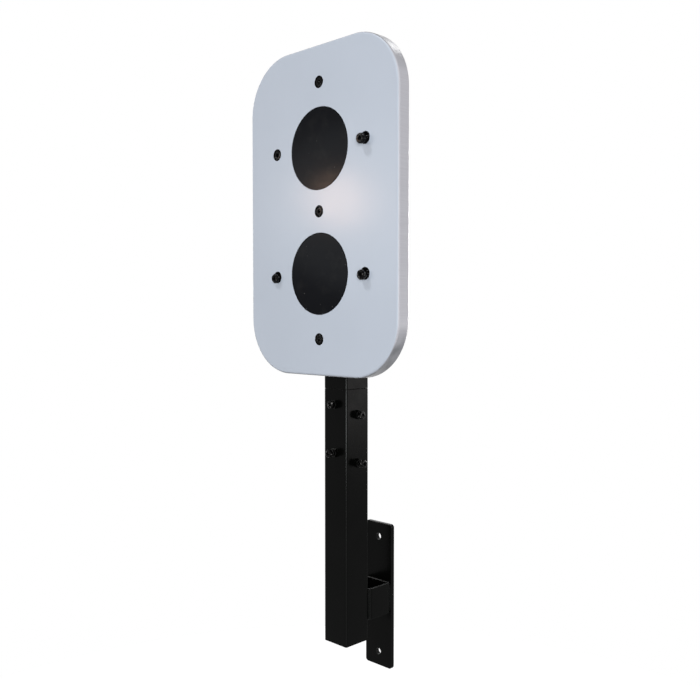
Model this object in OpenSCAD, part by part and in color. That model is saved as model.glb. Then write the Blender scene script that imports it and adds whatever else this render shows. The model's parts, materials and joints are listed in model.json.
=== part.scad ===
// Two-disc signal board on a plug-in mast, carried by a post with a wall bracket.
// Millimetres. The origin is the middle of the wall plate's back face.
// +X is to the right, +Y goes into the wall, +Z is up, and the board faces -Y.

/* [Wall bracket] */
// Width of the wall plate
plate_w = 46; // [40:1:60]
// Height of the wall plate
plate_h = 192; // [180:1:240]
// Thickness of the wall plate
plate_t = 6; // [3:0.5:8]
// Corner radius of the wall plate
plate_r = 4; // [2:0.5:10]
// Rounding of the wall plate's edges
plate_edge_r = 0.8; // [0.3:0.1:1.2]
// Distance between the two wall bolt holes
hole_pitch = 155; // [120:1:165]
// Diameter of the wall bolt holes
hole_d = 9; // [6.6:0.1:11]
// Outside width of the short upright tube that joins plate and post
stub_w = 44; // [36:1:50]
// Depth of that tube, from the plate to the post
stub_depth = 40; // [30:1:60]
// Height of that tube
stub_h = 40; // [25:1:80]
// Wall thickness of that tube
stub_wall = 3; // [2:0.5:3.5]
// Outside corner radius of that tube
stub_r = 5; // [4.5:0.5:8]

/* [Post and mast tubes] */
// Outside width of the square post and mast
tube_w = 40; // [38:1:42]
// Wall thickness of the tubes
tube_wall = 2; // [1.5:0.5:2.5]
// Outside corner radius of the tubes
tube_r = 2.5; // [2.5:0.5:5]
// Rounding of the tubes' deburred rims
rim_r = 0.4; // [0.3:0.1:0.7]
// Length of the post, from its foot to the seam under the mast
post_len = 324; // [280:1:400]
// How far the post's foot is below the middle of the wall plate
post_drop = 46; // [30:1:80]
// Length of the mast tube behind the board
mast_len = 398; // [385:1:420]
// Open joint between post and mast
seam_gap = 0.3; // [0.2:0.1:1]
// Slip clearance on each side of the spigot
slip = 0.5; // [0.3:0.1:0.6]
// Length of the spigot inside the post
spigot_in = 200; // [150:1:220]
// Length of the spigot inside the mast
spigot_up = 100; // [95:1:120]

/* [Board] */
// Width of the board
board_w = 260; // [230:1:320]
// Height of the board
board_h = 402; // [380:1:440]
// Thickness of the board
board_t = 19; // [15:0.5:22]
// Radius of the board's corners
board_r = 70; // [40:1:90]
// Rounding of the board's edges
edge_r = 3; // [0.5:0.1:5]
// Height of the board's lower edge above the seam
board_rise = 18; // [10:1:30]
// Diameter of the black discs
disc_d = 100; // [80:1:120]
// Thickness of the black discs
disc_t = 3; // [2:0.5:4]
// Rounding of a disc's front edge
disc_edge_r = 0.4; // [0.2:0.1:1]
// How far a disc stands out of the board
disc_proud = 0.4; // [0:0.1:1]
// Height of a disc's centre above or below the board's centre
disc_rise = 76; // [70:1:82]

/* [Carrier frame] */
// Thickness of the cross arms and pads
arm_t = 8; // [6:1:12]
// Height of the cross arms and pads
arm_h = 30; // [24:1:40]

/* [Board screws] */
// Spacing of the board screws, across and up
screw_pitch = 78; // [70:1:85]
// Thread diameter of the board screws
thread_d = 8; // [8:1:8]
// Length of the board screws under the head
screw_len = 30; // [28:1:35]
// Diameter of their low cap heads
head_d = 12; // [11.5:0.5:13.5]
// Height of those heads
head_h = 5; // [4:0.5:6]
// Key size of those heads
key_af = 5; // [4:1:6]
// Outside diameter of the cups that line the board's screw holes
cup_d = 15; // [14.6:0.1:18]
// Depth of the cups
cup_h = 7; // [6.5:0.5:9]
// How far the upper right screw stands out of the board
proud_upper_right = 10; // [5:0.5:11]
// How far the lower left screw stands out of the board
proud_lower_left = 6; // [5:0.5:11]
// How far the lower right screw stands out of the board
proud_lower_right = 8.5; // [5:0.5:11]

/* [Clamp screws] */
// Distance of the first clamp screw below the seam
clamp_top = 19; // [15:1:40]
// Distance between the two clamp screws on one face
clamp_pitch = 61; // [40:1:70]
// How much lower the side screws are than the front ones
clamp_stagger = 13; // [11:0.5:20]
// Thread diameter of the clamp screws
clamp_d = 6; // [6:1:6]
// Diameter of their low cap heads
clamp_head_d = 10; // [9:0.5:10.5]
// Height of those heads
clamp_head_h = 4; // [3.5:0.5:5]
// Key size of those heads
clamp_key_af = 4; // [3:1:4]
// Length of the two upper clamp screws under the head
upper_clamp_len = 8; // [8:1:12]
// Length of the two lower clamp screws under the head
lower_clamp_len = 11; // [8:1:12]
// Width across the flats of the welded clamp nuts
nut_af = 10; // [10:1:13]
// Height of the welded clamp nuts
nut_h = 4; // [3:0.5:4]

/* [Hidden] */
$fn = 64;

// Clearances
fit_gap = 0.05;
cup_gap = 0.3;
disc_gap = 0.2;
tapped_d = thread_d + 2 * fit_gap;
clear_d = thread_d + 2;
clamp_tapped_d = clamp_d + 2 * fit_gap;

// Places along Y, going out from the wall
stub_back = -plate_t;
stub_front = stub_back - stub_depth;
axis_y = stub_front - tube_w / 2;
mast_front = axis_y - tube_w / 2;
board_back = mast_front - arm_t;
board_front = board_back - board_t;

// Places along Z
foot_z = -post_drop;
seam_z = foot_z + post_len;
mast_z = seam_z + seam_gap;
mast_top = mast_z + mast_len;
board_z = seam_z + board_rise + board_h / 2;
column_z = [for (k = [-2, 0, 2]) board_z + k * screw_pitch];
row_z = [board_z - screw_pitch, board_z + screw_pitch];
front_clamp_z = [for (k = [0, 1]) seam_z - clamp_top - k * clamp_pitch];
side_clamp_z = [for (z = front_clamp_z) z - clamp_stagger];

// Tube insides, the spigot and its plug welds
bore_w = tube_w - 2 * tube_wall;
spigot_w = bore_w - 2 * slip;
spigot_wall = 3;
spigot_r = spigot_wall + 1;
spigot_hole_d = clear_d + 1;
weld_d = 10;
weld_z = [seam_z + 20, seam_z + spigot_up - 15];

// Low cap screws, cups and nuts
head_chamfer = 0.6;
tip_chamfer = 1;
key_share = 0.6;
cup_seat = head_h + 0.2;
cup_bore_d = head_d + 2 * cup_gap;
nut_chamfer = 0.6;
clamp_tip = spigot_w / 2 + fit_gap;

// Tube plugs
flange_t = 2.5;
flange_edge_r = 1;
plug_wall = 2;
plug_depth = 18;
fin_t = 1.5;
fin_pitch = 5;

coat = [0.09, 0.09, 0.1];
steel_black = [0.13, 0.13, 0.14];
plastic_black = [0.06, 0.06, 0.06];

// Flat rectangle with round corners
module round_rect(w, h, r) {
    square([w - 2 * r, h], center = true);
    square([w, h - 2 * r], center = true);
    for (x = [-1, 1], y = [-1, 1])
        translate([x * (w / 2 - r), y * (h / 2 - r)])
            circle(r);
}

// Cross-section of a square or oblong tube
module tube_section(w, h, wall, r) {
    difference() {
        round_rect(w, h, r);
        round_rect(w - 2 * wall, h - 2 * wall, r - wall);
    }
}

// Repeats a quarter turn at the four corners of a rectangle with half sizes x and y
module at_corners(x, y) {
    for (k = [0 : 3])
        translate([(k == 0 || k == 3 ? 1 : -1) * x, (k < 2 ? 1 : -1) * y])
            rotate(90 * k)
                children();
}

// Runs the profile of a straight edge along X or along Y, about the origin
module run_x(len) {
    rotate([90, 0, 90])
        linear_extrude(len, center = true)
            children();
}
module run_y(len) {
    rotate([90, 0, 0])
        linear_extrude(len, center = true)
            children();
}

// Upright tube with round corners and rounded rims, about its own centre
module rimmed_tube(w, d, wall, r, len) {
    for (side = [-1, 1]) {
        translate([0, side * (d - wall) / 2, 0])
            run_x(w - 2 * r)
                round_rect(wall, len, rim_r);
        translate([side * (w - wall) / 2, 0, 0])
            run_y(d - 2 * r)
                round_rect(wall, len, rim_r);
    }
    at_corners(w / 2 - r, d / 2 - r)
        rotate_extrude(angle = 90)
            translate([r - wall / 2, 0])
                round_rect(wall, len, rim_r);
}

// The same tube on the post's axis, from z0 to z1
module tube_on_axis(w, wall, r, z0, z1) {
    translate([0, axis_y, (z0 + z1) / 2])
        rimmed_tube(w, w, wall, r, z1 - z0);
}

// Half of a slab's cross-section at a corner, for turning about the corner's centre
module corner_profile(t, r, edge) {
    translate([0, -t / 2])
        square([r - edge, t]);
    translate([0, edge - t / 2])
        square([r, t - 2 * edge]);
    for (side = [-1, 1])
        translate([r - edge, side * (t / 2 - edge)])
            circle(edge);
}

// Flat slab with round corners and rounded edges, lying about its own centre
module rounded_slab(w, h, t, r, edge) {
    run_x(w - 2 * r)
        round_rect(h, t, edge);
    run_y(h - 2 * r)
        round_rect(w, t, edge);
    at_corners(w / 2 - r, h / 2 - r)
        rotate_extrude(angle = 90)
            corner_profile(t, r, edge);
}

// Extrudes an outline drawn in X and Z from y_back towards the front
module facing(y_back, t) {
    translate([0, y_back, 0])
        rotate([90, 0, 0])
            linear_extrude(t)
                children();
}

// Round hole or bar along Y, from y_back towards the front
module rod_y(x, z, y_back, len, d) {
    translate([x, y_back, z])
        rotate([90, 0, 0])
            cylinder(d = d, h = len);
}

// Turns something drawn along +Z to point out of the post's front face
module out_front(z) {
    translate([0, axis_y, z])
        rotate([90, 0, 0])
            children();
}

// Turns something drawn along +Z to point out of the post's right face
module out_side(z) {
    translate([0, axis_y, z])
        rotate([0, 90, 0])
            children();
}

// Low cap screw along Z, with the underside of its head at zero
module cap_screw(d, len, head_w, head_t, key) {
    head_r = head_w / 2;
    shank_r = d / 2;
    difference() {
        rotate_extrude()
            polygon([
                [0, head_t], [head_r - head_chamfer, head_t], [head_r, head_t - head_chamfer],
                [head_r, 0], [shank_r, 0], [shank_r, tip_chamfer - len],
                [shank_r - tip_chamfer, -len], [0, -len]
            ]);
        translate([0, 0, head_t - key_share * head_t])
            cylinder(d = key / cos(30), h = head_t, $fn = 6);
    }
}

// A board screw whose head stands out of the board by the given height
module board_screw(x, z, proud) {
    translate([x, board_front - proud + head_h, z])
        rotate([90, 0, 0])
            cap_screw(thread_d, screw_len, head_d, head_h, key_af);
}

// Thin hexagon nut on the post's face, drawn along +Z from the axis
module clamp_nut() {
    corner_r = nut_af / 2 / cos(30);
    translate([0, 0, tube_w / 2])
        difference() {
            intersection() {
                cylinder(r = corner_r, h = nut_h, $fn = 6);
                rotate_extrude()
                    polygon([
                        [0, 0], [corner_r, 0], [corner_r, nut_h - nut_chamfer],
                        [corner_r - 2 * nut_chamfer, nut_h], [0, nut_h]
                    ]);
            }
            translate([0, 0, -1])
                cylinder(d = clamp_tapped_d, h = nut_h + 2);
        }
}

// Ribbed plug for a tube's end, with its flange's inner face at zero
module tube_plug() {
    core_w = bore_w - 4;
    translate([0, 0, flange_t / 2])
        rounded_slab(tube_w, tube_w, flange_t, tube_r, flange_edge_r);
    translate([0, 0, -plug_depth])
        linear_extrude(plug_depth)
            tube_section(core_w, core_w, plug_wall, plug_wall + 1);
    for (k = [0 : 2])
        translate([0, 0, -fin_pitch * (k + 1)])
            linear_extrude(fin_t)
                tube_section(bore_w - 2 * fit_gap, bore_w - 2 * fit_gap, plug_wall + 1.5, plug_wall + 2);
}

// The seven screw positions as [x, z], and those whose screws are driven home
screw_spots = concat(
    [for (z = column_z) [0, z]],
    [for (x = [-1, 1], z = row_z) [x * screw_pitch, z]]
);
home_spots = concat([for (z = column_z) [0, z]], [[-screw_pitch, row_z[1]]]);

module wall_plate() {
    color(coat)
        difference() {
            translate([0, -plate_t / 2, 0])
                rotate([90, 0, 0])
                    rounded_slab(plate_w, plate_h, plate_t, plate_r, plate_edge_r);
            for (z = [-1, 1])
                rod_y(0, z * hole_pitch / 2, 1, plate_t + 2, hole_d);
        }
}

module bracket_tube() {
    color(coat)
        translate([0, (stub_back + stub_front) / 2, 0])
            rimmed_tube(stub_w, stub_depth, stub_wall, stub_r, stub_h);
}

module post_tube() {
    color(coat)
        difference() {
            tube_on_axis(tube_w, tube_wall, tube_r, foot_z + flange_t, seam_z);
            for (z = front_clamp_z)
                out_front(z)
                    cylinder(d = clamp_tapped_d, h = tube_w);
            for (z = side_clamp_z)
                out_side(z)
                    cylinder(d = clamp_tapped_d, h = tube_w);
        }
}

module post_foot_plug() {
    color(plastic_black)
        translate([0, axis_y, foot_z + flange_t])
            mirror([0, 0, 1])
                tube_plug();
}

module clamp_nuts() {
    color(coat) {
        for (z = front_clamp_z)
            out_front(z)
                clamp_nut();
        for (z = side_clamp_z)
            out_side(z)
                clamp_nut();
    }
}

module mast_tube() {
    color(coat)
        difference() {
            tube_on_axis(tube_w, tube_wall, tube_r, mast_z, mast_top);
            for (z = column_z)
                out_front(z)
                    cylinder(d = clear_d, h = tube_w);
            for (z = weld_z)
                translate([-tube_w, axis_y, z])
                    rotate([0, 90, 0])
                        cylinder(d = weld_d + 2 * fit_gap, h = 2 * tube_w);
        }
}

module spigot() {
    color(coat)
        difference() {
            tube_on_axis(spigot_w, spigot_wall, spigot_r, seam_z - spigot_in, seam_z + spigot_up);
            out_front(column_z[0])
                cylinder(d = spigot_hole_d, h = tube_w);
        }
}

module plug_welds() {
    color(coat)
        for (side = [0, 1], z = weld_z)
            mirror([side, 0, 0])
                translate([spigot_w / 2, axis_y, z])
                    rotate([0, 90, 0])
                        cylinder(d = weld_d, h = (tube_w - spigot_w) / 2);
}

module mast_cap() {
    color(plastic_black)
        translate([0, axis_y, mast_top])
            tube_plug();
}

module cross_arm(z) {
    color(coat)
        translate([0, 0, z])
            facing(mast_front, arm_t)
                difference() {
                    union() {
                        square([2 * screw_pitch, arm_h], center = true);
                        for (x = [-1, 1])
                            translate([x * screw_pitch, 0])
                                circle(d = arm_h);
                    }
                    for (x = [-1, 1])
                        translate([x * screw_pitch, 0])
                            circle(d = tapped_d);
                }
}

module pad(z) {
    color(coat)
        translate([0, 0, z])
            facing(mast_front, arm_t)
                difference() {
                    round_rect(tube_w - 2 * tube_r, arm_h, 3);
                    circle(d = tapped_d);
                }
}

module upper_arm() { cross_arm(row_z[1]); }
module lower_arm() { cross_arm(row_z[0]); }
module top_pad() { pad(column_z[2]); }
module middle_pad() { pad(column_z[1]); }
module bottom_pad() { pad(column_z[0]); }

module board() {
    recess = disc_t - disc_proud;
    color([0.8, 0.82, 0.86])
        difference() {
            translate([0, board_back - board_t / 2, board_z])
                rotate([90, 0, 0])
                    rounded_slab(board_w, board_h, board_t, board_r, edge_r);
            for (k = [-1, 1])
                rod_y(0, board_z + k * disc_rise, board_front + recess, recess + 1, disc_d + 2 * disc_gap);
            for (p = screw_spots) {
                rod_y(p[0], p[1], board_back + 1, board_t + 2, clear_d);
                rod_y(p[0], p[1], board_front + cup_h, cup_h + 1, cup_d);
            }
        }
}

module disc(z) {
    edge_x = disc_d / 2 - disc_edge_r;
    edge_y = disc_t - disc_edge_r;
    color(plastic_black)
        translate([0, board_front + disc_t - disc_proud, z])
            rotate([90, 0, 0])
                rotate_extrude() {
                    square([edge_x, disc_t]);
                    square([disc_d / 2, edge_y]);
                    translate([edge_x, edge_y])
                        circle(disc_edge_r);
                }
}

module upper_disc() { disc(board_z + disc_rise); }
module lower_disc() { disc(board_z - disc_rise); }

module screw_cups() {
    color(plastic_black)
        for (p = screw_spots)
            difference() {
                rod_y(p[0], p[1], board_front + cup_h, cup_h, cup_d - 2 * fit_gap);
                rod_y(p[0], p[1], board_front + cup_seat, cup_seat + 1, cup_bore_d);
                rod_y(p[0], p[1], board_front + cup_h + 1, cup_h + 2, clear_d);
            }
}

module home_screws() {
    color(steel_black)
        for (p = home_spots)
            board_screw(p[0], p[1], head_h - cup_seat);
}

module upper_right_screw() {
    color(steel_black)
        board_screw(screw_pitch, row_z[1], proud_upper_right);
}

module lower_left_screw() {
    color(steel_black)
        board_screw(-screw_pitch, row_z[0], proud_lower_left);
}

module lower_right_screw() {
    color(steel_black)
        board_screw(screw_pitch, row_z[0], proud_lower_right);
}

module clamp_screw(len) {
    color(steel_black)
        translate([0, 0, clamp_tip + len])
            cap_screw(clamp_d, len, clamp_head_d, clamp_head_h, clamp_key_af);
}

module front_upper_clamp_screw() { out_front(front_clamp_z[0]) clamp_screw(upper_clamp_len); }
module front_lower_clamp_screw() { out_front(front_clamp_z[1]) clamp_screw(lower_clamp_len); }
module side_upper_clamp_screw() { out_side(side_clamp_z[0]) clamp_screw(upper_clamp_len); }
module side_lower_clamp_screw() { out_side(side_clamp_z[1]) clamp_screw(lower_clamp_len); }

wall_plate();
bracket_tube();
post_tube();
post_foot_plug();
clamp_nuts();
mast_tube();
spigot();
plug_welds();
mast_cap();
upper_arm();
lower_arm();
top_pad();
middle_pad();
bottom_pad();
board();
upper_disc();
lower_disc();
screw_cups();
home_screws();
upper_right_screw();
lower_left_screw();
lower_right_screw();
front_upper_clamp_screw();
front_lower_clamp_screw();
side_upper_clamp_screw();
side_lower_clamp_screw();
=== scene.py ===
"""Looks of a two-disc signal board on a plug-in mast: finishes, screws, weld beads, light and camera.

Metres, in the frame of the solids: +X is to the right, +Y goes into the wall, +Z is up,
and the board faces -Y.
"""

import json
import math
import random
from collections import namedtuple

import bmesh
import bpy
from mathutils import Matrix, Vector


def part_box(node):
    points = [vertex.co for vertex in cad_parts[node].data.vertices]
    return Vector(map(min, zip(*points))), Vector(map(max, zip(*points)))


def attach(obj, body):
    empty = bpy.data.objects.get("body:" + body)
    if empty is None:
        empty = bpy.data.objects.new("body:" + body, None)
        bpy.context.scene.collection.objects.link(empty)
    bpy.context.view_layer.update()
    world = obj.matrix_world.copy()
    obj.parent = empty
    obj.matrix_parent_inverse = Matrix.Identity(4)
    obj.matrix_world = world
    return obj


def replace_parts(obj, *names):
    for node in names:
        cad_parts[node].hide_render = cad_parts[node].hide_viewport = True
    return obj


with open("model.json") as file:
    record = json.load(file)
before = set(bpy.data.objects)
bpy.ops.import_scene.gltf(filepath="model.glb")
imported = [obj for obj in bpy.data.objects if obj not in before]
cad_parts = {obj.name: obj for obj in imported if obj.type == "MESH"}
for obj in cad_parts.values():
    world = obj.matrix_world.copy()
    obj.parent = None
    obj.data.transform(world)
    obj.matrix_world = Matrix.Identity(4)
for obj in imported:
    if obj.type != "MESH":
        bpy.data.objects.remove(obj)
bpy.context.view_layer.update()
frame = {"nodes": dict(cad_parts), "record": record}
nodes = frame["nodes"]
MM = 0.001
FRONT = Vector((0, -1, 0))
RIGHT = Vector((1, 0, 0))
UP = Vector((0, 0, 1))
WHITE = (1.0, 1.0, 1.0)
SMOOTH_ANGLE = math.radians(35)

# Low cap screws, with the sizes of the solids
Screw = namedtuple("Screw", "head_r head_h thread_r pitch key_af")
BOARD_SCREW = Screw(6 * MM, 5 * MM, 4 * MM, 1.25 * MM, 5 * MM)
CLAMP_SCREW = Screw(5 * MM, 4 * MM, 3 * MM, 1.0 * MM, 4 * MM)
THREAD_DEPTH = 0.56  # share of the pitch
SOCKET_FLOOR = 0.4  # share of the head's height
KNURLS = 48
KNURL_DEPTH = 0.18 * MM
HEAD_SEGMENTS = 2 * KNURLS
SHANK_SEGMENTS = 24
ROWS_PER_PITCH = 6
# A screw that stands out hangs by this angle, and is set back to keep its tilted head in the solid's box
DROOP = math.radians(4.0)
SET_BACK = 0.5 * MM

# Weld beads: the ripples' length, and their depth, curve and wander as shares of the bead's radius
RIPPLE = 2.1 * MM
RIPPLE_ROWS = 6
RIPPLE_DEPTH = 0.08
RIPPLE_CURVE = 0.55
RIPPLE_WANDER = 0.04
BEAD_SEGMENTS = 14
TAPER_POWER = 8

# Small bevels where the coat rounds an edge
BAR_BEVEL = 0.5 * MM
RIM_BEVEL = 1.2 * MM
BEVEL_SEGMENTS = 3
BEVEL_FROM = math.radians(50)

# Floor: its colour stays dark enough to take a shadow, and the lift brings it to white
FLOOR_PLACE = (0, -0.1, -0.35)
FLOOR_R = 0.9
FLOOR_SEGMENTS = 96
FLOOR_GREY = (0.2, 0.2, 0.2, 1.0)
FLOOR_LIFT = 0.9


def feed(tree, socket, value):
    """Links another node's output to a socket, or sets a plain value on it."""
    if isinstance(value, bpy.types.NodeSocket):
        tree.links.new(value, socket)
    else:
        socket.default_value = value


def add_node(tree, kind, inputs=None, **settings):
    """A new node, with its settings and with values or links on its inputs."""
    node = tree.nodes.new(kind)
    for key, value in settings.items():
        setattr(node, key, value)
    for key, value in (inputs or {}).items():
        feed(tree, node.inputs[key], value)
    return node


class Finish:
    """A material on a Principled shader, with short calls for the nodes that feed it."""

    def __init__(self, name, **values):
        self.material = bpy.data.materials.new(name)
        self.material.use_nodes = True
        self.tree = self.material.node_tree
        self.shader = self.tree.nodes["Principled BSDF"]
        for socket, value in values.items():
            self.shader.inputs[socket.replace("_", " ")].default_value = value
        coordinates = self.add("ShaderNodeTexCoord").outputs
        self.place = coordinates["Object"]
        self.normal = coordinates["Normal"]

    def add(self, kind, inputs=None, **settings):
        return add_node(self.tree, kind, inputs, **settings)

    def set(self, socket, value):
        """Links a texture to one of the shader's sockets."""
        feed(self.tree, self.shader.inputs[socket], value)

    def stretched(self, x, y, z):
        """The place on the object, in cells of the given sizes."""
        inputs = {0: self.place, 1: (1 / x, 1 / y, 1 / z)}
        return self.add("ShaderNodeVectorMath", inputs, operation="MULTIPLY").outputs[0]

    def noise(self, size, detail=2.0, vector=None):
        """Soft noise from 0 to 1 with features of the given size, or in the cells of vector."""
        inputs = {"Vector": vector or self.place, "Scale": 1 / size, "Detail": detail}
        return self.add("ShaderNodeTexNoise", inputs).outputs[0]

    def specks(self, size, share):
        """Dots on a random lattice of the given size: 1 inside a dot and 0 elsewhere."""
        inputs = {"Vector": self.place, "Scale": 1 / size}
        distance = self.add("ShaderNodeTexVoronoi", inputs).outputs["Distance"]
        return self.spread(distance, 1.0, 0.0, share * 0.6, share)

    def spread(self, value, low, high, start=0.3, end=0.7):
        """Maps a value from start and end to low and high."""
        inputs = {"Value": value, "From Min": start, "From Max": end, "To Min": low, "To Max": high}
        return self.add("ShaderNodeMapRange", inputs).outputs["Result"]

    def product(self, a, b):
        return self.add("ShaderNodeMath", {0: a, 1: b}, operation="MULTIPLY").outputs[0]

    def sum(self, a, b):
        return self.add("ShaderNodeMath", {0: a, 1: b}, operation="ADD").outputs[0]

    def upward(self):
        """1 on what faces straight up, 0 on upright faces and -1 on what faces straight down."""
        return self.add("ShaderNodeSeparateXYZ", {"Vector": self.normal}).outputs["Z"]

    def facing(self):
        """How far the surface faces along each axis, either way."""
        return self.add("ShaderNodeVectorMath", {0: self.normal}, operation="ABSOLUTE").outputs[0]

    def slant(self):
        """1 on faces square to an axis, and more on rounded edges between them."""
        inputs = {0: self.facing(), 1: (1, 1, 1)}
        return self.add("ShaderNodeVectorMath", inputs, operation="DOT_PRODUCT").outputs["Value"]

    def shades(self, value, *stops):
        """A ramp between two colours over the value; each stop is a position and a colour."""
        ramp = self.add("ShaderNodeValToRGB", {"Fac": value})
        for element, (position, colour) in zip(ramp.color_ramp.elements, stops):
            element.position = position
            element.color = (*colour, 1.0)
        return ramp.outputs["Color"]

    def blend(self, factor, a, b):
        """Colour a where the factor is 0 and colour b where it is 1."""
        mix = self.add("ShaderNodeMix", {"Factor": factor}, data_type="RGBA")
        colour_a, colour_b = [s for s in mix.inputs if s.type == "RGBA"]
        feed(self.tree, colour_a, a)
        feed(self.tree, colour_b, b)
        return next(s for s in mix.outputs if s.type == "RGBA")

    def bump(self, height, distance, strength, below=None):
        """Bump from a height texture, on top of another bump if there is one."""
        inputs = {"Height": height, "Distance": distance, "Strength": strength}
        if below is not None:
            inputs["Normal"] = below
        normal = self.add("ShaderNodeBump", inputs).outputs["Normal"]
        self.set("Normal", normal)
        return normal


def powder_coat(name, rough, polish, dust_and_top_light_from):
    """Satin black powder coat with fine orange peel, edges polished by handling, and dust with painted top
    light.

    polish is the gloss on rounded edges; where a face looks up by more than the last argument, the coat is
    made lighter grey in patches, as dust and as painted light on top faces.
    """
    f = Finish(name, Specular_IOR_Level=0.04, Coat_Roughness=0.11)
    speck_grey = (0.05, 0.05, 0.048, 1.0)
    dust_and_top_light_grey = (0.15, 0.153, 0.15, 1.0)
    black = f.shades(f.noise(0.05, 3), (0.35, (0.0012, 0.0014, 0.0012)), (0.7, (0.0019, 0.002, 0.0018)))
    specks = f.product(f.specks(0.007, 0.09), f.spread(f.noise(0.03), 0.0, 0.35, 0.5, 0.7))
    patches = f.spread(f.noise(0.006, 3), 0.5, 1.0)
    # Dust and painted top light: upward faces get a lighter grey, in patches, standing for dust and for
    # light falling on them
    dust_and_top_light = f.product(f.spread(f.upward(), 0.0, 1.0, dust_and_top_light_from, 0.98), patches)
    f.set("Base Color", f.blend(dust_and_top_light, f.blend(specks, black, speck_grey), dust_and_top_light_grey))
    f.set("Roughness", f.spread(f.noise(0.02, 3), rough - 0.03, rough + 0.03))
    if polish:
        f.set("Coat Weight", f.spread(f.slant(), 0.0, polish, 1.2, 1.4))
    f.bump(f.noise(0.0017, 1.0), 0.00008, 0.15)
    return f.material


def board_white():
    """Pale solid board: satin faces, and machined edges with cutter marks, with painted shade on the edges
    that face up and down.
    """
    f = Finish("board_white", Specular_IOR_Level=0.21)
    shade_grey = (0.23, 0.236, 0.254, 1.0)
    front = f.add("ShaderNodeSeparateXYZ", {"Vector": f.facing()}).outputs["Y"]
    edge = f.spread(front, 1.0, 0.0, 0.55, 0.9)
    cutter = f.noise(1.0, 2.0, f.stretched(0.0011, 0.03, 0.0011))
    face = f.shades(f.noise(0.09, 3), (0.35, (0.564, 0.622, 0.712)), (0.65, (0.578, 0.636, 0.727)))
    machined = f.shades(cutter, (0.3, (0.63, 0.625, 0.672)), (0.7, (0.68, 0.675, 0.722)))
    up = f.upward()
    # Painted shade: edges that face up and edges that face down are darkened to a mottled grey
    above = f.spread(up, 0.0, 0.9, 0.2, 0.6)
    below = f.spread(up, 1.0, 0.0, -0.5, -0.1)
    painted_shade = f.product(f.sum(above, below), f.spread(f.noise(0.012, 3), 0.6, 1.0))
    f.set("Base Color", f.blend(edge, face, f.blend(painted_shade, machined, shade_grey)))
    satin = f.spread(f.noise(0.02, 3), 0.145, 0.17)
    f.set("Roughness", f.spread(front, 0.3, satin, 0.9, 0.985))
    grain = f.bump(f.noise(0.0011, 1.0), 0.00002, 0.2)
    f.bump(f.product(cutter, edge), 0.00005, 0.3, grain)
    return f.material


def disc_black():
    """Gloss black disc with a few dust specks and faint wipe marks."""
    f = Finish("disc_black", Specular_IOR_Level=0.044)
    black = (0.0026, 0.0031, 0.005, 1.0)
    smudge_grey = (0.03, 0.029, 0.027, 1.0)
    speck_grey = (0.09, 0.088, 0.082, 1.0)
    specks = f.product(f.specks(0.011, 0.08), f.spread(f.noise(0.02), 0.0, 0.9, 0.45, 0.65))
    smudges = f.spread(f.noise(0.018, 3), 0.0, 0.16, 0.55, 0.75)
    f.set("Base Color", f.blend(specks, f.blend(smudges, black, smudge_grey), speck_grey))
    wipes = f.noise(1.0, 3.0, f.stretched(0.03, 0.03, 0.004))
    f.set("Roughness", f.spread(wipes, 0.1, 0.14))
    return f.material


def screw_black():
    """Black oxide steel: dark, with an uneven sheen and pale grey specks painted on as glints."""
    f = Finish("screw_black", Specular_IOR_Level=0.06)
    glint_grey = (0.16, 0.158, 0.152, 1.0)
    oxide = f.shades(f.noise(0.002, 3), (0.3, (0.0015, 0.0015, 0.0017)), (0.75, (0.004, 0.0038, 0.0036)))
    # Painted glints: small patches of pale grey on the oxide stand in for highlights
    painted_glints = f.spread(f.noise(0.0024), 0.0, 1.0, 0.6, 0.68)
    f.set("Base Color", f.blend(painted_glints, oxide, glint_grey))
    f.set("Roughness", f.spread(f.noise(0.0012, 3), 0.08, 0.15))
    f.bump(f.noise(0.0005, 2.0), 0.00002, 0.4)
    return f.material


def plastic_black():
    """Moulded black plastic with a fine spark-eroded grain."""
    f = Finish("plastic_black", Specular_IOR_Level=0.04)
    cloud = f.noise(0.02, 3)
    f.set("Base Color", f.shades(cloud, (0.3, (0.0025, 0.0025, 0.0025)), (0.7, (0.004, 0.004, 0.004))))
    f.set("Roughness", f.spread(f.noise(0.004, 2), 0.45, 0.6))
    f.bump(f.noise(0.0006, 2.0), 0.00004, 0.5)
    return f.material


FINISHES = {
    "powder_coat": powder_coat("powder_coat", rough=0.23, polish=0.145, dust_and_top_light_from=0.88),
    "board_white": board_white(),
    "disc_black": disc_black(),
    "screw_black": screw_black(),
    "plastic_black": plastic_black(),
}
WELD_COAT = powder_coat("weld_coat", rough=0.3, polish=0.0, dust_and_top_light_from=0.88)
# Bracket tube coat: dust and painted top light reach down to gentler slopes, which lightens its rims
BRACKET_COAT = powder_coat("bracket_coat", rough=0.23, polish=0.145, dust_and_top_light_from=0.45)


def finish_solids():
    """Gives every solid the finish of its slot in the record, and the bracket tube a coat with more dust and
    painted top light on its rims.
    """
    for part in frame["record"]["subparts"]:
        solid = nodes[part["node"]]
        solid.data.materials.clear()
        solid.data.materials.append(FINISHES[part["material_slot"]])
    nodes["bracket_tube"].data.materials[0] = BRACKET_COAT


def soften_edges():
    """Small bevels on the flat bars and on the bracket tube's rims, as the coat rounds them."""
    widths = dict.fromkeys(("upper_arm", "lower_arm", "top_pad", "middle_pad", "bottom_pad"), BAR_BEVEL)
    widths["bracket_tube"] = RIM_BEVEL
    for node, width in widths.items():
        bevel = nodes[node].modifiers.new("coat_edge", "BEVEL")
        bevel.width = width
        bevel.segments = BEVEL_SEGMENTS
        bevel.limit_method = "ANGLE"
        bevel.angle_limit = BEVEL_FROM
        bevel.harden_normals = True


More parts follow.
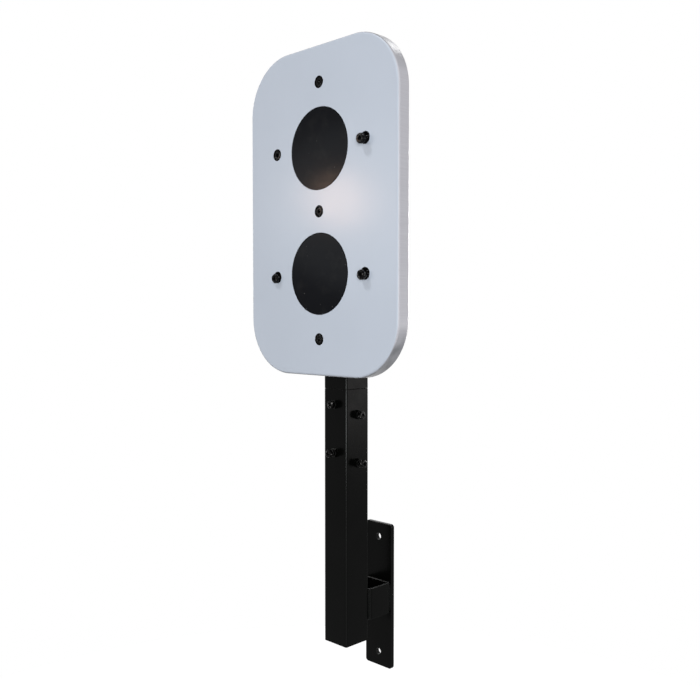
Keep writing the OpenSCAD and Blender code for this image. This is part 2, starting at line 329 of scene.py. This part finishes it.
def add_piece(name, bm, body, slot):
    """Turns a bmesh into a piece that rides on a body and has the finish of a slot."""
    bmesh.ops.recalc_face_normals(bm, faces=bm.faces)
    mesh = bpy.data.meshes.new(name)
    bm.to_mesh(mesh)
    bm.free()
    mesh.shade_smooth()
    mesh.set_sharp_from_angle(angle=SMOOTH_ANGLE)
    piece = bpy.data.objects.new(name, mesh)
    bpy.context.scene.collection.objects.link(piece)
    mesh.materials.append(FINISHES[slot])
    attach(piece, body)
    return piece


def add_ring(bm, place, count, point):
    """A ring of vertices; point gives the radius and height at each angle."""
    ring = []
    for k in range(count):
        angle = 2 * math.pi * k / count
        radius, height = point(angle, k)
        local = Vector((radius * math.cos(angle), radius * math.sin(angle), height))
        ring.append(bm.verts.new(place @ local))
    return ring


def bridge(bm, ring_a, ring_b):
    """Faces between two rings, where the second has as many points as the first or a multiple of that."""
    ratio = len(ring_b) // len(ring_a)
    for k in range(len(ring_a)):
        near = [ring_a[k], ring_a[(k + 1) % len(ring_a)]]
        far = [ring_b[(k * ratio + j) % len(ring_b)] for j in range(ratio + 1)]
        bm.faces.new(near + far[::-1])


def close_ring(bm, ring, tip):
    """Closes a ring with a fan of faces to a point."""
    point = bm.verts.new(tip)
    for k in range(len(ring)):
        bm.faces.new((ring[k], ring[(k + 1) % len(ring)], point))


def hexagon_radius(angle, across_flats):
    """Distance from the centre of a hexagon to its side at an angle."""
    sector = math.pi / 3
    return across_flats / 2 / math.cos((angle % sector) - sector / 2)


def add_cap_screw(bm, place, size, length):
    """Low cap screw along local Z, with the underside of its head at zero and its tip at minus length."""

    def circle(inset, height):
        return lambda angle, k: (size.head_r - inset, height)

    def knurled(height):
        return lambda angle, k: (size.head_r - KNURL_DEPTH * (k % 2), height)

    def hexagon(across_flats, height):
        return lambda angle, k: (hexagon_radius(angle, across_flats), height)

    def thread(depth_here):
        def point(angle, k):
            phase = 2 * math.pi * depth_here / size.pitch + angle
            fade = min(1.0, depth_here / size.pitch, (length - depth_here) / size.pitch)
            wave = 0.5 - 0.5 * math.cos(phase)
            groove = THREAD_DEPTH * size.pitch * (1 - fade + fade * wave * wave)
            return size.thread_r - groove, -depth_here
        return point

    rows = int(length / size.pitch * ROWS_PER_PITCH)
    rings = [add_ring(bm, place, SHANK_SEGMENTS, thread(length * k / rows)) for k in range(rows, -1, -1)]
    close_ring(bm, rings[0], place @ Vector((0, 0, -length)))
    top = size.head_h
    socket_floor = SOCKET_FLOOR * top
    head = [
        circle(0.55 * MM, 0.0),
        circle(0.3 * MM, 0.12 * MM),
        circle(0.18 * MM, 0.4 * MM),
        knurled(0.6 * MM),
        knurled(top - 1.1 * MM),
        circle(0.12 * MM, top - 0.8 * MM),
        circle(0.35 * MM, top - 0.3 * MM),
        circle(0.7 * MM, top - 0.07 * MM),
        circle(1.1 * MM, top),
        hexagon(size.key_af + 0.5 * MM, top),
        hexagon(size.key_af, top - 0.3 * MM),
        hexagon(size.key_af, socket_floor),
        hexagon(size.key_af - 0.6 * MM, socket_floor - 0.05 * MM),
    ]
    rings += [add_ring(bm, place, HEAD_SEGMENTS, point) for point in head]
    for ring_a, ring_b in zip(rings, rings[1:]):
        bridge(bm, ring_a, ring_b)
    close_ring(bm, rings[-1], place @ Vector((0, 0, socket_floor - 0.9 * MM)))


def facing_out(direction, point):
    """Placement of something drawn along local Z so that it points along direction from a point."""
    turn = direction.to_track_quat("Z", "Y").to_matrix().to_4x4()
    return Matrix.Translation(point) @ turn


def make_board_screws():
    """Detailed board screws: four driven home, and three that stand out and hang a little in their holes."""
    head_r, head_h = BOARD_SCREW.head_r, BOARD_SCREW.head_h
    board_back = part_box("board")[1].y
    for node in ("upper_right_screw", "lower_left_screw", "lower_right_screw"):
        lo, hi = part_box(node)
        bm = bmesh.new()
        x, z = (lo.x + hi.x) / 2, (lo.z + hi.z) / 2
        seat = facing_out(FRONT, Vector((x, lo.y + head_h + SET_BACK, z)))
        pivot = Matrix.Translation((x, board_back, z))
        place = pivot @ Matrix.Rotation(DROOP, 4, "X") @ pivot.inverted() @ seat
        add_cap_screw(bm, place, BOARD_SCREW, hi.y - lo.y - head_h - SET_BACK)
        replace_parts(add_piece(node + "_threaded", bm, "mast", "screw_black"), node)

    lo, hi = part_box("home_screws")
    bottom, top = lo.z + head_r, hi.z - head_r
    pitch = (top - bottom) / 4
    middle = (top + bottom) / 2
    bm = bmesh.new()
    for x, z in ((0, bottom), (0, middle), (0, top), (-pitch, middle + pitch)):
        place = facing_out(FRONT, Vector((x, lo.y + head_h, z)))
        add_cap_screw(bm, place, BOARD_SCREW, hi.y - lo.y - head_h)
    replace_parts(add_piece("home_screws_threaded", bm, "mast", "screw_black"), "home_screws")


def make_clamp_screws():
    """Detailed clamp screws, each on its own body."""
    for side, direction in (("front", FRONT), ("side", RIGHT)):
        for level in ("upper", "lower"):
            body = f"{side}_{level}_clamp"
            node = body + "_screw"
            lo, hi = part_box(node)
            middle = (lo + hi) / 2
            total = abs((hi - lo).dot(direction))
            seat = middle + direction * (total / 2 - CLAMP_SCREW.head_h)
            bm = bmesh.new()
            add_cap_screw(bm, facing_out(direction, seat), CLAMP_SCREW, total - CLAMP_SCREW.head_h)
            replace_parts(add_piece(node + "_threaded", bm, body, "screw_black"), node)


def add_bead(bm, start, end, radius, outward, rng):
    """Weld bead from start to end: overlapping ripples, tapered at both ends, standing towards outward."""
    along = (end - start).normalized()
    side = along.cross(outward).normalized()
    length = (end - start).length
    rows = int(length / RIPPLE * RIPPLE_ROWS)
    wander = [rng.uniform(-RIPPLE_WANDER, RIPPLE_WANDER) for _ in range(int(length / RIPPLE) + 3)]
    rings = []
    for row in range(1, rows):
        s = row / rows
        taper = (1 - abs(2 * s - 1) ** TAPER_POWER) ** 0.5
        ring = []
        for k in range(BEAD_SEGMENTS):
            angle = 2 * math.pi * k / BEAD_SEGMENTS
            crescent = s * length / RIPPLE + RIPPLE_CURVE * (1 - math.cos(angle)) * radius / RIPPLE
            swell = RIPPLE_DEPTH * abs(math.sin(math.pi * crescent))
            scale = taper * (1 - RIPPLE_DEPTH + swell + wander[int(crescent)])
            offset = outward * math.cos(angle) + side * math.sin(angle)
            ring.append(bm.verts.new(start + along * (s * length) + offset * (radius * scale)))
        rings.append(ring)
    for ring_a, ring_b in zip(rings, rings[1:]):
        bridge(bm, ring_a, ring_b)
    close_ring(bm, rings[0], start)
    close_ring(bm, rings[-1], end)


def add_weld(name, bm, body):
    """A piece made of beads: the same coat, but duller and without polished edges."""
    piece = add_piece(name, bm, body, "powder_coat")
    piece.data.materials[0] = WELD_COAT


def make_bracket_welds():
    """Upright beads in the grooves between wall plate, bracket tube and post."""
    rng = random.Random(4)
    lo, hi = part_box("bracket_tube")
    bead_r = 2.3 * MM
    end_gap = 1.5 * MM
    off_joint = 0.4 * MM
    plate_inset = 1.6 * MM
    post_inset = 2.6 * MM
    bm = bmesh.new()
    for side in (-1, 1):
        for y, inset in ((hi.y - off_joint, plate_inset), (lo.y + off_joint, post_inset)):
            x = side * (hi.x - inset)
            foot, top = Vector((x, y, lo.z + end_gap)), Vector((x, y, hi.z - end_gap))
            add_bead(bm, foot, top, bead_r, RIGHT * side, rng)
    add_weld("bracket_welds", bm, "post")


def make_nut_welds():
    """Short beads that tack three sides of each clamp nut to the post."""
    rng = random.Random(5)
    lo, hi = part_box("post_tube")
    bead_r = 0.7 * MM
    half = 1.7 * MM
    nut_flat = 5.0 * MM
    off_corner = 0.2 * MM
    bm = bmesh.new()
    faces = (("front", FRONT, Vector((0, lo.y, 0))), ("side", RIGHT, Vector((hi.x, 0, 0))))
    for side, direction, face in faces:
        across = direction.cross(UP)
        for level in ("upper", "lower"):
            s_lo, s_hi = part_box(f"{side}_{level}_clamp_screw")
            centre = (s_lo + s_hi) / 2
            centre += direction * (face - centre).dot(direction)
            for turn in (90, 210, 330):
                spin = Matrix.Rotation(math.radians(turn), 3, direction)
                out = spin @ across
                along = spin @ UP
                middle = centre + out * (nut_flat + off_corner) + direction * off_corner
                lean = (out + direction).normalized()
                add_bead(bm, middle - along * half, middle + along * half, bead_r, lean, rng)
    add_weld("clamp_nut_welds", bm, "post")


def make_frame_welds():
    """Beads that hold the cross arms and pads to the mast."""
    rng = random.Random(6)
    mast_lo, mast_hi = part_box("mast_tube")
    face_y = mast_lo.y
    bead_r = 1.8 * MM
    arm_gap = 2 * MM
    pad_gap = 2.5 * MM
    off_joint = 0.4 * MM
    bm = bmesh.new()
    for arm in ("upper_arm", "lower_arm"):
        lo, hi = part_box(arm)
        for side in (-1, 1):
            # In the groove at the mast's rounded corner
            x = side * (mast_hi.x - 1.3 * MM)
            y = face_y + 1.2 * MM
            outward = Vector((side, 0.4, 0)).normalized()
            foot, top = Vector((x, y, lo.z + arm_gap)), Vector((x, y, hi.z - arm_gap))
            add_bead(bm, foot, top, bead_r, outward, rng)
    for pad in ("top_pad", "middle_pad", "bottom_pad"):
        lo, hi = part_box(pad)
        for edge_z, up in ((lo.z, -1), (hi.z, 1)):
            y, z = face_y - off_joint, edge_z + up * off_joint
            left, right = Vector((lo.x + pad_gap, y, z)), Vector((hi.x - pad_gap, y, z))
            add_bead(bm, left, right, bead_r, Vector((0, -1, up)).normalized(), rng)
    add_weld("frame_welds", bm, "mast")


def background_rays(tree):
    """1 for rays that see the background: camera, glossy and transmission rays."""
    rays = add_node(tree, "ShaderNodeLightPath").outputs
    seen = rays["Is Camera Ray"]
    for other in ("Is Glossy Ray", "Is Transmission Ray"):
        seen = add_node(tree, "ShaderNodeMath", {0: seen, 1: rays[other]}, operation="MAXIMUM").outputs[0]
    return seen


def make_world():
    """White background, and a soft light on the object that is stronger from above."""
    world = bpy.data.worlds.new("studio")
    bpy.context.scene.world = world
    world.use_nodes = True
    tree = world.node_tree
    tree.nodes.clear()
    direction = add_node(tree, "ShaderNodeTexCoord").outputs["Generated"]
    height = add_node(tree, "ShaderNodeSeparateXYZ", {"Vector": direction}).outputs["Z"]
    levels = {"Value": height, "From Min": -0.2, "From Max": 0.2, "To Min": 0.04, "To Max": 0.16}
    sky = add_node(tree, "ShaderNodeMapRange", levels).outputs["Result"]
    daylight = (0.98, 0.99, 1.0, 1.0)
    soft = add_node(tree, "ShaderNodeBackground", {"Color": daylight, "Strength": sky}).outputs[0]
    white = add_node(tree, "ShaderNodeBackground", {"Color": (*WHITE, 1.0)}).outputs[0]
    mix = add_node(tree, "ShaderNodeMixShader", {0: background_rays(tree), 1: soft, 2: white}).outputs[0]
    add_node(tree, "ShaderNodeOutputWorld", {"Surface": mix})


def make_floor():
    """Round floor under the object: it takes the shadow, and is lifted to white where nothing shades it."""
    bm = bmesh.new()
    bmesh.ops.create_circle(bm, cap_ends=True, segments=FLOOR_SEGMENTS, radius=FLOOR_R)
    mesh = bpy.data.meshes.new("floor")
    bm.to_mesh(mesh)
    bm.free()
    floor = bpy.data.objects.new("floor", mesh)
    floor.location = FLOOR_PLACE
    bpy.context.scene.collection.objects.link(floor)
    material = bpy.data.materials.new("floor")
    material.use_nodes = True
    tree = material.node_tree
    tree.nodes.clear()
    pale = add_node(tree, "ShaderNodeBsdfDiffuse", {"Color": FLOOR_GREY}).outputs[0]
    strength = {0: background_rays(tree), 1: FLOOR_LIFT}
    lifted = add_node(tree, "ShaderNodeMath", strength, operation="MULTIPLY").outputs[0]
    lift = add_node(tree, "ShaderNodeEmission", {"Strength": lifted}).outputs[0]
    both = add_node(tree, "ShaderNodeAddShader", {0: pale, 1: lift}).outputs[0]
    add_node(tree, "ShaderNodeOutputMaterial", {"Surface": both})
    mesh.materials.append(material)


def add_lamp(name, place, target, size, watts, colour):
    """Soft round or oblong area lamp at a place, turned to a target."""
    data = bpy.data.lights.new(name, "AREA")
    data.shape = "ELLIPSE"
    data.size, data.size_y = size
    data.energy = watts
    data.color = colour
    lamp = bpy.data.objects.new(name, data)
    lamp.location = place
    lamp.rotation_euler = (Vector(target) - Vector(place)).to_track_quat("-Z", "Y").to_euler()
    bpy.context.scene.collection.objects.link(lamp)


def make_lamps():
    """Soft lamps high and low beside the camera, overhead, on the right and behind.

    A weak cool lamp and a small warm one on the left show as gloss on the board and the discs.
    """
    board = (0.0, -0.11, 0.45)
    post = (0.0, -0.07, 0.2)
    add_lamp("front_high", (2.0, -2.15, 0.75), board, (1.2, 1.0), 38.5, (1.0, 0.975, 0.985))
    add_lamp("front_low", (2.1, -2.25, -0.12), post, (1.6, 0.42), 29.5, (0.95, 1.0, 1.0))
    add_lamp("overhead", (-1.0, -2.1, 3.8), board, (0.42, 0.42), 49.0, WHITE)
    add_lamp("right", (1.5, 1.3, 0.14), post, (0.6, 0.4), 3.0, (1.0, 0.97, 0.96))
    add_lamp("back", (-0.4, 2.4, 0.55), board, (1.0, 1.0), 38.0, WHITE)
    add_lamp("behind_high", (-0.2, 1.5, 2.5), board, (0.8, 0.8), 12.0, WHITE)
    add_lamp("window", (-1.6, -1.95, 0.8), (0.08, -0.11, 0.48), (0.9, 0.7), 2.8, (0.9, 0.96, 1.0))
    add_lamp("warm", (-1.05, -1.17, 0.71), (0.03, -0.11, 0.5), (0.16, 0.16), 0.85, (1.0, 0.64, 0.45))


def make_camera():
    """Camera on the right, in front of the board and below its middle, looking slightly down."""
    tilt_down = 2.368
    turn = 44.965
    data = bpy.data.cameras.new("camera")
    data.lens = 44.13
    data.sensor_width = 36.0
    camera = bpy.data.objects.new("camera", data)
    camera.location = (0.7703, -0.8306, 0.3713)
    camera.rotation_euler = (math.radians(90 - tilt_down), 0.0, math.radians(turn))
    bpy.context.scene.collection.objects.link(camera)
    bpy.context.scene.camera = camera


finish_solids()
soften_edges()
make_board_screws()
make_clamp_screws()
make_bracket_welds()
make_nut_welds()
make_frame_welds()
make_world()
make_floor()
make_lamps()
make_camera()
bpy.context.scene.view_settings.view_transform = "Standard"
